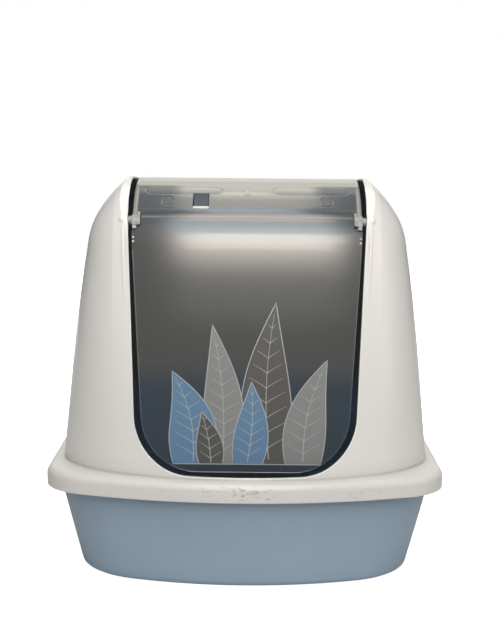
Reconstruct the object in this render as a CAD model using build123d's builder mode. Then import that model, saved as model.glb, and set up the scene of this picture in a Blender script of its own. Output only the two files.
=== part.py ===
from build123d import *
import os
from math import sin, cos, tan, radians

os.makedirs("parts", exist_ok=True)

# ---------------------------------------------------------------- dimensions
# millimetres, +Z up, the door looks toward -Y, origin under the centre of the tray
HALF_LENGTH = 275.0        # skirt front and rear, on the centre line
HALF_WIDTH = 203.0         # skirt sides
CREST_Z = 405.0            # highest line of the hood
WALL = 2.6                 # moulded wall of hood and tray

SKIRT_Z = 96.6             # lower edge of the hood skirt
LEDGE_Z = 115.0            # top of the ledge round the hood foot
LEDGE_T = 2.8
SKIRT_EDGE_R = 6.5         # rounded upper edge of the skirt

TRAY_RIM_Z = 111.9         # top of the tray rim, just under the ledge
TRAY_RIM_T = 2.6
RIM_GAP = 1.0              # tray rim to skirt inside

LEAN = 11.5                # lean of the front beside the opening, degrees
FRONT_Y0 = -239.0          # front beside the opening at ledge height
CROWN_R = 85.0             # front to roof curve
CROWN_Y, CROWN_Z = -110.5, 320.0
ROOF_FALL = 3.5            # the roof falls to the rear, degrees
REAR_Y0 = 262.0
REAR_LEAN = 7.0
ROOF_FRONT_Y = -61.0       # front edge of the roof behind the flap

PIVOT_Y, PIVOT_Z = -179.0, 364.0
PIN_R = 3.0
PIN_CLEAR = 0.06

VISOR_R = 84.2             # outer radius of the flap's upper moulding
VISOR_T = 2.2
VISOR_HALF = 117.0
DOOR_R = 83.7              # outer radius of the door sheet near the fold
DOOR_T = 2.0
DOOR_Z = 116.6             # lower edge of the door

LT = tan(radians(LEAN))


def front_y(z):
    return FRONT_Y0 + (z - 115.0) * LT


def bow(z):
    return max(0.0, 25.5 * (330.0 - z) / 217.8)


def rear_y(z):
    return REAR_Y0 - (z - 115.0) * tan(radians(REAR_LEAN))


def ring(y0, sag, xf, w, dep, yr, sag_r, xr, dep_r):
    """Control points of a plan outline: bowed front and rear, straight sides, soft corners."""
    yf = y0 + sag
    s = 2.0 * sag / xf
    q = (w, yf + s * (w - xf))
    p1, p2 = (xf, yf), (w, yf + dep)
    c1 = (p1[0] + 0.56 * (q[0] - p1[0]), p1[1] + 0.56 * (q[1] - p1[1]))
    c2 = (p2[0] + 0.56 * (q[0] - p2[0]), p2[1] + 0.56 * (q[1] - p2[1]))
    yrf = yr - sag_r
    sr = 2.0 * sag_r / xr
    qr = (w, yrf - sr * (w - xr))
    p3, p4 = (w, yrf - dep_r), (xr, yrf)
    c3 = (p3[0] + 0.56 * (qr[0] - p3[0]), p3[1] + 0.56 * (qr[1] - p3[1]))
    c4 = (p4[0] + 0.56 * (qr[0] - p4[0]), p4[1] + 0.56 * (qr[1] - p4[1]))
    mid_f, mid_r = (0.0, y0 - sag), (0.0, yr + sag_r)

    def m(p):
        return (-p[0], p[1])

    return [
        [m(p1), mid_f, p1],
        [p1, c1, c2, p2],
        [p2, p3],
        [p3, c3, c4, p4],
        [p4, mid_r, m(p4)],
        [m(p4), m(c4), m(c3), m(p3)],
        [m(p3), m(p2)],
        [m(p2), m(c2), m(c1), m(p1)],
    ]


# heights and half widths of the hood, foot to crown, and the slope allowance for the wall
HOOD_LOWER = [(112.2, 191.6, 1.02), (184.8, 185.0, 1.02), (257.4, 178.2, 1.03), (330.0, 168.8, 1.06)]
HOOD_UPPER = [(330.0, 168.8, 1.06), (346.4, 166.3, 1.11), (362.8, 160.6, 1.22), (379.2, 150.6, 1.31),
              (395.6, 136.6, 1.38), (412.0, 115.6, 1.42)]


def hood_ring(z, w, k, t):
    xf = w - 63.0 + (z - 112.2) * 6.0 / 300.0 - 0.35 * t
    w2 = w - k * t
    y0 = front_y(z) - bow(z) + 1.05 * t
    return ring(y0, bow(z), xf, w2, 73.0 - (z - 112.2) * 0.05, rear_y(z) - 1.02 * t, 12.0, w - 62.0 - 0.35 * t, 66.0)


SKIRT_RING = ring(-HALF_LENGTH, 25.0, 165.0, HALF_WIDTH, 44.0, HALF_LENGTH, 25.0, 165.0, 44.0)
SKIRT_INNER = ring(-HALF_LENGTH + WALL, 25.0, 164.0, HALF_WIDTH - WALL, 43.0, HALF_LENGTH - WALL, 25.0, 164.0, 43.0)
RIM_RING = ring(-HALF_LENGTH + WALL + RIM_GAP, 25.0, 163.6, HALF_WIDTH - WALL - RIM_GAP, 42.6,
                HALF_LENGTH - WALL - RIM_GAP, 25.0, 163.6, 42.6)

# front view of the entrance in the hood
OPEN_LOW, OPEN_HINGE, OPEN_TOP = 109.3, 121.2, 122.0
OPEN_Z, OPEN_CORNER_R = 118.35, 57.0
RETURN_IN = 4.0            # the returns sit this far behind the edge of the entrance
RETURN_TOP = 35.0

# ---------------------------------------------------------------- working forms
with BuildPart() as hood_low:
    for z, w, k in HOOD_LOWER:
        with BuildSketch(Plane.XY.offset(z)):
            with BuildLine():
                for pts in hood_ring(z, w, k, 0.0):
                    if len(pts) == 2:
                        Line(*pts)
                    else:
                        Bezier(*pts)
            make_face()
    loft(clean=False)

with BuildPart() as hood_high:
    for z, w, k in HOOD_UPPER:
        with BuildSketch(Plane.XY.offset(z)):
            with BuildLine():
                for pts in hood_ring(z, w, k, 0.0):
                    if len(pts) == 2:
                        Line(*pts)
                    else:
                        Bezier(*pts)
            make_face()
    loft(clean=False)

with BuildPart() as hood_low_inner:
    for z, w, k in HOOD_LOWER:
        with BuildSketch(Plane.XY.offset(z)):
            with BuildLine():
                for pts in hood_ring(z, w, k, WALL):
                    if len(pts) == 2:
                        Line(*pts)
                    else:
                        Bezier(*pts)
            make_face()
    loft(clean=False)

with BuildPart() as hood_high_inner:
    for z, w, k in HOOD_UPPER:
        with BuildSketch(Plane.XY.offset(z)):
            with BuildLine():
                for pts in hood_ring(z, w, k, WALL):
                    if len(pts) == 2:
                        Line(*pts)
                    else:
                        Bezier(*pts)
            make_face()
    loft(clean=False)


def side_profile(t):
    r = CROWN_R + 0.1 - t
    a, b = radians(LEAN), radians(ROOF_FALL)
    s = (CROWN_Y - r * cos(a), CROWN_Z + r * sin(a))
    e = (CROWN_Y + r * sin(b), CROWN_Z + r * cos(b))
    rear_top_y = 205.0
    v = (rear_top_y, e[1] - (rear_top_y - e[0]) * tan(b))
    lean_r = tan(radians(REAR_LEAN))
    # meet the rear wall
    y_meet = rear_y(v[1]) + 0.5 - t * 1.02
    v = (y_meet, e[1] - (y_meet - e[0]) * tan(b))
    w = (v[0] + (v[1] - 60.0) * lean_r, 60.0)
    f = (-340.0, 60.0)
    return s, e, v, w, f, r


with BuildPart() as profile_form:
    s, e, v, w, f, r = side_profile(0.0)
    with BuildSketch(Plane.YZ):
        with BuildLine():
            CenterArc((CROWN_Y, CROWN_Z), r, 180.0 - LEAN, -(90.0 - LEAN + ROOF_FALL))
            FilletPolyline(e, v, w, radius=62.0)
            Polyline(w, f, s)
        make_face()
    extrude(amount=230.0, both=True)

with BuildPart() as profile_form_inner:
    s, e, v, w, f, r = side_profile(WALL)
    with BuildSketch(Plane.YZ):
        with BuildLine():
            CenterArc((CROWN_Y, CROWN_Z), r, 180.0 - LEAN, -(90.0 - LEAN + ROOF_FALL))
            FilletPolyline(e, v, w, radius=60.0)
            Polyline(w, f, s)
        make_face()
    extrude(amount=230.0, both=True)

with BuildPart() as hood_outer:
    add(hood_low.part)
    add(hood_high.part)
    add(profile_form.part, mode=Mode.INTERSECT)

with BuildPart() as hood_inner:
    add(hood_low_inner.part)
    add(hood_high_inner.part)
    add(profile_form_inner.part, mode=Mode.INTERSECT)

# entrance prism, from in front of the hood back to the roof edge
with BuildPart() as entrance:
    with BuildSketch(Plane.XZ.offset(-ROOF_FRONT_Y)) as entrance_sketch:
        with BuildLine():
            FilletPolyline(
                (0, OPEN_Z), (OPEN_LOW, OPEN_Z), (OPEN_HINGE, PIVOT_Z + 2.0), radius=OPEN_CORNER_R)
            Polyline((OPEN_HINGE, PIVOT_Z + 2.0), (OPEN_TOP, 385.0), (OPEN_TOP, 440.0), (0, 440.0))
            Line((0, 440.0), (0, OPEN_Z))
        make_face()
        mirror(about=Plane.YZ)
    extrude(amount=280.0)

# returns that stiffen the sides of the entrance
with BuildPart() as returns:
    with BuildSketch(Plane.YZ):
        a = radians(LEAN)
        r1, r2 = CROWN_R - 1.0, CROWN_R - 11.0
        p = (CROWN_Y - r1 * cos(a), CROWN_Z + r1 * sin(a))
        q = (CROWN_Y - r2 * cos(a), CROWN_Z + r2 * sin(a))
        zl = 172.0
        with BuildLine():
            CenterArc((CROWN_Y, CROWN_Z), r1, 180.0 - LEAN, -(90.0 - LEAN - RETURN_TOP))
            CenterArc((CROWN_Y, CROWN_Z), r2, 180.0 - LEAN, -(90.0 - LEAN - RETURN_TOP))
            b = radians(RETURN_TOP)
            Line((CROWN_Y - r1 * sin(b), CROWN_Z + r1 * cos(b)), (CROWN_Y - r2 * sin(b), CROWN_Z + r2 * cos(b)))
            Polyline(p, (p[0] - (p[1] - zl) * LT, zl), (q[0] - (q[1] - zl) * LT, zl), q)
        make_face()
    extrude(amount=140.0, both=True)
    with BuildSketch(Plane.XZ.offset(300.0)):
        with BuildLine():
            c0, c1 = RETURN_IN, RETURN_IN + 2.6
            Polyline((OPEN_LOW + c0, OPEN_Z), (OPEN_HINGE + c0, PIVOT_Z + 2.0), (OPEN_TOP + c0, 385.0),
                     (OPEN_TOP + c0, 440.0), (OPEN_TOP + c1, 440.0), (OPEN_TOP + c1, 385.0),
                     (OPEN_HINGE + c1, PIVOT_Z + 2.0), (OPEN_LOW + c1, OPEN_Z), (OPEN_LOW + c0, OPEN_Z))
        make_face()
        mirror(about=Plane.YZ)
    extrude(amount=-320.0, mode=Mode.INTERSECT)

# ---------------------------------------------------------------- hood shell
with BuildPart() as hood_shell:
    # skirt with a rounded upper edge
    with BuildSketch(Plane.XY.offset(SKIRT_Z)):
        with BuildLine():
            for pts in SKIRT_RING:
                if len(pts) == 2:
                    Line(*pts)
                else:
                    Bezier(*pts)
        make_face()
    extrude(amount=LEDGE_Z - SKIRT_Z)
    fillet(hood_shell.faces().sort_by(Axis.Z)[-1].edges(), radius=SKIRT_EDGE_R)
    with BuildSketch(Plane.XY.offset(SKIRT_Z - 1.0)):
        with BuildLine():
            for pts in SKIRT_INNER:
                if len(pts) == 2:
                    Line(*pts)
                else:
                    Bezier(*pts)
        make_face()
    extrude(amount=LEDGE_Z - LEDGE_T - SKIRT_Z + 1.0, mode=Mode.SUBTRACT)
    # dome
    add(hood_outer.part)
    add(hood_inner.part, mode=Mode.SUBTRACT)
    with BuildSketch(Plane.XY.offset(SKIRT_Z - 1.0)):
        with BuildLine():
            for pts in hood_ring(112.2, 191.6, 1.02, WALL):
                if len(pts) == 2:
                    Line(*pts)
                else:
                    Bezier(*pts)
        make_face()
    extrude(amount=LEDGE_Z - SKIRT_Z + 1.2, mode=Mode.SUBTRACT)
    # entrance, its returns and the lip of the roof edge
    add(entrance.part, mode=Mode.SUBTRACT)
    add(returns.part)
    lip_z = 405.0 - (ROOF_FRONT_Y - CROWN_Y) * tan(radians(ROOF_FALL)) - 1.2
    with Locations((0, ROOF_FRONT_Y + 1.3, lip_z - 8.0)):
        Box(2 * VISOR_HALF - 14.0, 2.6, 16.0)
    # sockets for the flap pins, their rounded ends slightly proud of the front strip
    for side in (-1, 1):
        with Locations(Location((side * 125.3, PIVOT_Y, PIVOT_Z), (0, 90, 0))):
            Cylinder(radius=4.3, height=7.4)
        with Locations((side * 126.2, PIVOT_Y, PIVOT_Z)):
            Sphere(radius=4.7)
    for side in (-1, 1):
        with Locations(Location((side * 124.9, PIVOT_Y, PIVOT_Z), (0, 90, 0))):
            Cylinder(radius=PIN_R + PIN_CLEAR, height=7.8, mode=Mode.SUBTRACT)
    # vent slots in the roof over the filter
    for i in range(6):
        yv = 28.0 + i * 13.0
        with Locations((-30.0, yv, 390.0), (30.0, yv, 390.0)):
            Box(48.0, 5.0, 40.0, mode=Mode.SUBTRACT)
hood_shell.part.label = "hood_shell"

# ---------------------------------------------------------------- tray
TRAY_FOOT = ring(-249.0, 16.0, 114.5, 170.5, 60.0, 249.0, 16.0, 114.5, 60.0)
TRAY_TOP = ring(-264.8, 22.0, 143.0, 196.2, 56.0, 264.8, 22.0, 143.0, 56.0)
TRAY_FOOT_IN = ring(-249.0 + 2.7, 16.0, 113.5, 170.5 - 2.7, 58.0, 249.0 - 2.7, 16.0, 113.5, 58.0)
TRAY_TOP_IN = ring(-264.8 + 2.7, 22.0, 142.0, 196.2 - 2.7, 54.0, 264.8 - 2.7, 22.0, 142.0, 54.0)

with BuildPart() as base_tray:
    for z, pts_all in ((0.0, TRAY_FOOT), (TRAY_RIM_Z, TRAY_TOP)):
        with BuildSketch(Plane.XY.offset(z)):
            with BuildLine():
                for pts in pts_all:
                    if len(pts) == 2:
                        Line(*pts)
                    else:
                        Bezier(*pts)
            make_face()
    loft(ruled=True)
    fillet(base_tray.faces().sort_by(Axis.Z)[0].edges(), radius=9.0)
    with BuildSketch(Plane.XY.offset(TRAY_RIM_Z - TRAY_RIM_T)):
        with BuildLine():
            for pts in RIM_RING:
                if len(pts) == 2:
                    Line(*pts)
                else:
                    Bezier(*pts)
        make_face()
    extrude(amount=TRAY_RIM_T)
base_tray_solid = base_tray.part

with BuildPart() as tray_hollow:
    for z, pts_all in ((0.0, TRAY_FOOT_IN), (TRAY_RIM_Z + 0.4, TRAY_TOP_IN)):
        with BuildSketch(Plane.XY.offset(z)):
            with BuildLine():
                for pts in pts_all:
                    if len(pts) == 2:
                        Line(*pts)
                    else:
                        Bezier(*pts)
            make_face()
    loft(ruled=True)
    with Locations((0, 0, -50.0 + 2.8)):
        Box(600, 700, 100, mode=Mode.SUBTRACT)
    fillet(tray_hollow.faces().sort_by(Axis.Z)[0].edges(), radius=7.0)

with BuildPart() as tray_final:
    add(base_tray_solid)
    add(tray_hollow.part, mode=Mode.SUBTRACT)
tray_final.part.label = "base_tray"

# ---------------------------------------------------------------- flap
def crown_point(radius, theta):
    """Point on a circle about the crown centre, theta measured from straight up toward the front."""
    a = radians(theta)
    return (CROWN_Y - radius * sin(a), CROWN_Z + radius * cos(a))


def crown_plane(x, radius, theta):
    """Plane touching the crown circle, its normal outward."""
    a = radians(theta)
    y, z = crown_point(radius, theta)
    return Plane(origin=(x, y, z), x_dir=(1, 0, 0), z_dir=(0, -sin(a), cos(a)))


FOLD = 56.0                # lower edge of the visor
TAIL = -28.5               # rear edge of the visor
WEB_END = 54.0             # the side webs stop above the pivot clips
CLIP_X = 108.6             # inner face of the pivot clips
CATCH_X = -47.5            # middle of the catch that holds the visor to the door

with BuildPart() as flap_visor:
    with BuildSketch(Plane.YZ):
        with BuildLine():
            CenterArc((CROWN_Y, CROWN_Z), VISOR_R, 90.0 + TAIL, FOLD - TAIL)
            CenterArc((CROWN_Y, CROWN_Z), VISOR_R - VISOR_T, 90.0 + TAIL, FOLD - TAIL)
            Line(crown_point(VISOR_R, FOLD), crown_point(VISOR_R - VISOR_T, FOLD))
            Line(crown_point(VISOR_R, TAIL), crown_point(VISOR_R - VISOR_T, TAIL))
        make_face()
    extrude(amount=VISOR_HALF, both=True)
    # side webs
    for x0 in (-VISOR_HALF, VISOR_HALF - 2.2):
        with BuildSketch(Plane.YZ.offset(x0)):
            with BuildLine():
                CenterArc((CROWN_Y, CROWN_Z), VISOR_R, 90.0 + TAIL, WEB_END - TAIL)
                CenterArc((CROWN_Y, CROWN_Z), VISOR_R - 10.5, 90.0 + TAIL, WEB_END - TAIL)
                Line(crown_point(VISOR_R, WEB_END), crown_point(VISOR_R - 10.5, WEB_END))
                Line(crown_point(VISOR_R, TAIL), crown_point(VISOR_R - 10.5, TAIL))
            make_face()
        extrude(amount=2.2)
    # corner notches for the pivot clips
    for x0 in (-CLIP_X + 0.3 - 10.0, CLIP_X - 0.3):
        with BuildSketch(Plane.YZ.offset(x0)):
            with BuildLine():
                Polyline(crown_point(74.0, WEB_END), crown_point(90.0, WEB_END), crown_point(90.0, 64.0),
                         crown_point(74.0, 64.0), crown_point(74.0, WEB_END))
            make_face()
        extrude(amount=10.0, mode=Mode.SUBTRACT)
    # the sheet rolls over into the webs
    fillet([e for e in flap_visor.edges().filter_by(GeomType.CIRCLE)
            if abs(e.radius - VISOR_R) < 0.01 and abs(abs(e.center().X) - VISOR_HALF) < 0.01], radius=4.2)
    # lower edge sloped down to the face of the door
    with BuildSketch(Plane.YZ):
        with BuildLine():
            Polyline(crown_point(VISOR_R, FOLD - 1.15), crown_point(DOOR_R + 0.02, FOLD), crown_point(DOOR_R + 0.02, FOLD + 1.0),
                     crown_point(VISOR_R + 3.0, FOLD + 1.0), crown_point(VISOR_R + 3.0, FOLD - 1.15),
                     crown_point(VISOR_R, FOLD - 1.15))
        make_face()
    extrude(amount=130.0, both=True, mode=Mode.SUBTRACT)
    # long shallow recesses left and right
    for x0 in (-65.5, 65.5):
        with BuildSketch(crown_plane(x0, VISOR_R - 0.9, 29.5)):
            SlotOverall(80.0, 14.5)
        extrude(amount=4.0, mode=Mode.SUBTRACT)
    # catch window with a raised lower lip
    with BuildSketch(crown_plane(CATCH_X, VISOR_R - 8.0, 39.3)):
        Rectangle(16.4, 20.6)
    extrude(amount=14.0, mode=Mode.SUBTRACT)
    with BuildSketch(crown_plane(CATCH_X, VISOR_R - 1.0, 47.4)):
        Rectangle(16.8, 2.2)
    extrude(amount=1.9)
    # round marks
    for x0 in (-81.4, 81.4):
        with BuildSketch(crown_plane(x0, VISOR_R - 0.8, 41.3)):
            Circle(7.1)
            Circle(5.8, mode=Mode.SUBTRACT)
        extrude(amount=3.0, mode=Mode.SUBTRACT)
    # gate nub
    nub_y, nub_z = crown_point(VISOR_R - 1.7, 31.0)
    with Locations((0, nub_y, nub_z)):
        Sphere(radius=3.0)
    with BuildSketch(Plane.YZ):
        with Locations((CROWN_Y, CROWN_Z)):
            Circle(VISOR_R - VISOR_T)
    extrude(amount=20.0, both=True, mode=Mode.SUBTRACT)
flap_visor.part.label = "flap_visor"

DOOR_TOP = 56.05           # the sheet starts right under the fold
STUD_ANGLES = (70.6, 73.6)
STUD_X = 115.0
STUD_R = 0.8

with BuildPart() as door_panel:
    a = radians(LEAN)
    ro, ri = DOOR_R, DOOR_R - DOOR_T
    so = (CROWN_Y - ro * cos(a), CROWN_Z + ro * sin(a))
    si = (CROWN_Y - ri * cos(a), CROWN_Z + ri * sin(a))
    zb = DOOR_Z - 6.0
    with BuildSketch(Plane.YZ):
        with BuildLine():
            CenterArc((CROWN_Y, CROWN_Z), ro, 90.0 + DOOR_TOP, 90.0 - LEAN - DOOR_TOP)
            CenterArc((CROWN_Y, CROWN_Z), ri, 90.0 + DOOR_TOP, 90.0 - LEAN - DOOR_TOP)
            Line(crown_point(ro, DOOR_TOP), crown_point(ri, DOOR_TOP))
            Polyline(so, (so[0] - (so[1] - zb) * LT, zb), (si[0] - (si[1] - zb) * LT, zb), si)
        make_face()
    extrude(amount=120.0, both=True)
    # joggled tongue under the visor
    with BuildSketch(Plane.YZ):
        with BuildLine():
            CenterArc((CROWN_Y, CROWN_Z), 81.75, 90.0 + 47.0, 61.5 - 47.0)
            CenterArc((CROWN_Y, CROWN_Z), 79.75, 90.0 + 47.0, 61.5 - 47.0)
            Line(crown_point(81.75, 47.0), crown_point(79.75, 47.0))
            Line(crown_point(81.75, 61.5), crown_point(79.75, 61.5))
        make_face()
    extrude(amount=CLIP_X - 0.6, both=True)
    with BuildSketch(Plane.YZ):
        with BuildLine():
            CenterArc((CROWN_Y, CROWN_Z), DOOR_R - 0.7, 90.0 + 58.4, 61.5 - 58.4)
            CenterArc((CROWN_Y, CROWN_Z), 79.75, 90.0 + 58.4, 61.5 - 58.4)
            Line(crown_point(DOOR_R - 0.7, 58.4), crown_point(79.75, 58.4))
            Line(crown_point(DOOR_R - 0.7, 61.5), crown_point(79.75, 61.5))
        make_face()
    extrude(amount=CLIP_X - 0.6, both=True)
    with BuildSketch(Plane.XZ.offset(300.0)):
        with BuildLine():
            FilletPolyline((0, DOOR_Z), (101.7, DOOR_Z), (116.75, 348.0), radius=58.0)
            Polyline((116.75, 348.0), (116.9, 354.8), (111.9, 354.8), (111.9, 358.0), (CLIP_X - 0.3, 358.0),
                     (CLIP_X - 0.3, 420.0), (0, 420.0))
            Line((0, 420.0), (0, DOOR_Z))
        make_face()
        mirror(about=Plane.YZ)
    extrude(amount=-300.0, mode=Mode.INTERSECT)
    # snap hook that rises into the catch window, its face sloped for assembly
    top = crown_point(83.7, 33.0)
    foot = (top[0] - 18.5 * 0.663, top[1] - 18.5 * 0.749)
    with BuildSketch(Plane.YZ.offset(CATCH_X - 7.6)):
        with BuildLine():
            Polyline(crown_point(81.6, 49.0), crown_point(78.8, 49.0), crown_point(78.8, 41.0), crown_point(78.8, 33.0),
                     top, foot, crown_point(81.2, 47.5), crown_point(81.6, 49.0))
        make_face()
    extrude(amount=15.2)
    for th in STUD_ANGLES:
        for side in (-1, 1):
            with BuildSketch(crown_plane(side * STUD_X, DOOR_R + 2.0, th)):
                Circle(STUD_R + 0.08)
            extrude(amount=-6.0, mode=Mode.SUBTRACT)
door_panel.part.label = "door_panel"

clips = {}
for side, name in ((-1, "pivot_clip_left"), (1, "pivot_clip_right")):
    with BuildPart() as clip:
        # block, ear and leg, each a sector about the crown centre
        for x0, x1, r0, r1, t0, t1 in (
                (111.2, VISOR_HALF, 78.9, 85.4, 54.04, 61.9),
                (CLIP_X, 111.2, 78.9, 86.4, 54.04, 61.9),
                (CLIP_X, 111.2, VISOR_R + 0.05, 86.4, 52.2, 54.04),
                (109.2, 116.4, 78.9, 81.0, 54.04, 76.6),
                (112.3, 116.4, 80.4, 84.8, 61.9, 64.4)):
            lo = x0 if side > 0 else -x1
            with BuildSketch(Plane.YZ.offset(lo)):
                with BuildLine():
                    CenterArc((CROWN_Y, CROWN_Z), r1, 90.0 + t0, t1 - t0)
                    CenterArc((CROWN_Y, CROWN_Z), r0, 90.0 + t0, t1 - t0)
                    Line(crown_point(r0, t0), crown_point(r1, t0))
                    Line(crown_point(r0, t1), crown_point(r1, t1))
                make_face()
            extrude(amount=x1 - x0)
        # hub across the gap and the pin beyond it
        with Locations(Location((side * 118.25, PIVOT_Y, PIVOT_Z), (0, 90, 0))):
            Cylinder(radius=4.4, height=4.5)
        with Locations(Location((side * 122.1, PIVOT_Y, PIVOT_Z), (0, 90, 0))):
            Cylinder(radius=PIN_R, height=11.8)
        for th in STUD_ANGLES:
            with BuildSketch(crown_plane(side * STUD_X, DOOR_R + 2.0, th)):
                Circle(STUD_R + 0.08)
            extrude(amount=-12.0, mode=Mode.SUBTRACT)
    clip.part.label = name
    clips[name] = clip.part

with BuildPart() as door_studs:
    for th in STUD_ANGLES:
        for side in (-1, 1):
            with BuildSketch(crown_plane(side * STUD_X, DOOR_R + 0.05, th)):
                Circle(1.1)
            extrude(amount=0.75)
            with BuildSketch(crown_plane(side * STUD_X, DOOR_R + 0.05, th)):
                Circle(STUD_R)
            extrude(amount=-4.0)
door_studs.part.label = "door_studs"

# ---------------------------------------------------------------- filter under the roof
HOLDER_Y = 60.5
FB = radians(ROOF_FALL)
holder_z = CREST_Z - (HOLDER_Y - CROWN_Y) * tan(FB) - WALL / cos(FB) - 0.05
HOLDER_PLANE = Plane(origin=(0, HOLDER_Y, holder_z), x_dir=(1, 0, 0), z_dir=(0, sin(FB), cos(FB)))
HOLDER_W, HOLDER_L, HOLDER_H, HOLDER_T = 136.0, 104.0, 12.0, 1.8

with BuildPart() as filter_holder:
    with BuildSketch(HOLDER_PLANE):
        RectangleRounded(HOLDER_W, HOLDER_L, 8.0)
    extrude(amount=-HOLDER_H)
    with BuildSketch(HOLDER_PLANE):
        RectangleRounded(HOLDER_W - 2 * HOLDER_T, HOLDER_L - 2 * HOLDER_T, 6.2)
    extrude(amount=-(HOLDER_H - HOLDER_T), mode=Mode.SUBTRACT)
    with BuildSketch(HOLDER_PLANE):
        with GridLocations(60.0, 12.0, 2, 7):
            Rectangle(50.0, 6.0)
    extrude(amount=-(HOLDER_H + 2.0), mode=Mode.SUBTRACT)
filter_holder.part.label = "filter_holder"

with BuildPart() as carbon_filter:
    with BuildSketch(HOLDER_PLANE.offset(-(HOLDER_H - HOLDER_T) + 0.05)):
        RectangleRounded(HOLDER_W - 2 * HOLDER_T - 1.0, HOLDER_L - 2 * HOLDER_T - 1.0, 5.5)
    extrude(amount=7.0)
carbon_filter.part.label = "carbon_filter"

# ---------------------------------------------------------------- files
for node in (tray_final.part, hood_shell.part, flap_visor.part, door_panel.part,
             clips["pivot_clip_left"], clips["pivot_clip_right"], door_studs.part,
             filter_holder.part, carbon_filter.part):
    export_step(node, "parts/" + node.label + ".step")
    print(node.label, node.is_valid, len(node.solids()), round(node.volume / 1000.0, 2), "cm3")
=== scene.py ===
import bpy
import bmesh
import math
from mathutils import Vector, Matrix
from mathutils.bvhtree import BVHTree


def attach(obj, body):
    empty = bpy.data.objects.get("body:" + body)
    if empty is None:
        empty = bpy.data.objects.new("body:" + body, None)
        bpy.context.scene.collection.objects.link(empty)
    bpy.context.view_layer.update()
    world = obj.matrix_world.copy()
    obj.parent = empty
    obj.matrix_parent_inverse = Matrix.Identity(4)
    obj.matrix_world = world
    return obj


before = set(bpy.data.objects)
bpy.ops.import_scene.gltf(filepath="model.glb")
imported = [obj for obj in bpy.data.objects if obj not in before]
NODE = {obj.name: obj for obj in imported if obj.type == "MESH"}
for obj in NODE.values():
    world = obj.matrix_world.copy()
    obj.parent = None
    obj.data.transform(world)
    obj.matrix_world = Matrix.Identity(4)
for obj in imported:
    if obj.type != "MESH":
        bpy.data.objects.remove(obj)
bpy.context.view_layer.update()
SCENE = bpy.context.scene

# ---------------------------------------------------------------- camera
cam_data = bpy.data.cameras.new("camera")
cam_data.sensor_fit = "AUTO"
cam_data.sensor_width = 36.0
cam_data.lens = 1180.0 / 644.0 * 36.0
cam_data.clip_start = 0.02
cam_data.clip_end = 60.0
cam = bpy.data.objects.new("camera", cam_data)
cam.location = (0.0028, -1.379, 0.461)
cam.rotation_euler = (Matrix.Rotation(math.radians(90.0 - 9.5), 3, "X")
                      @ Matrix.Rotation(math.radians(0.55), 3, "Z")).to_euler()
SCENE.collection.objects.link(cam)
SCENE.camera = cam

SCENE.view_settings.view_transform = "Standard"
SCENE.view_settings.look = "None"
SCENE.view_settings.exposure = 0.0
SCENE.view_settings.gamma = 1.0


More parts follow.
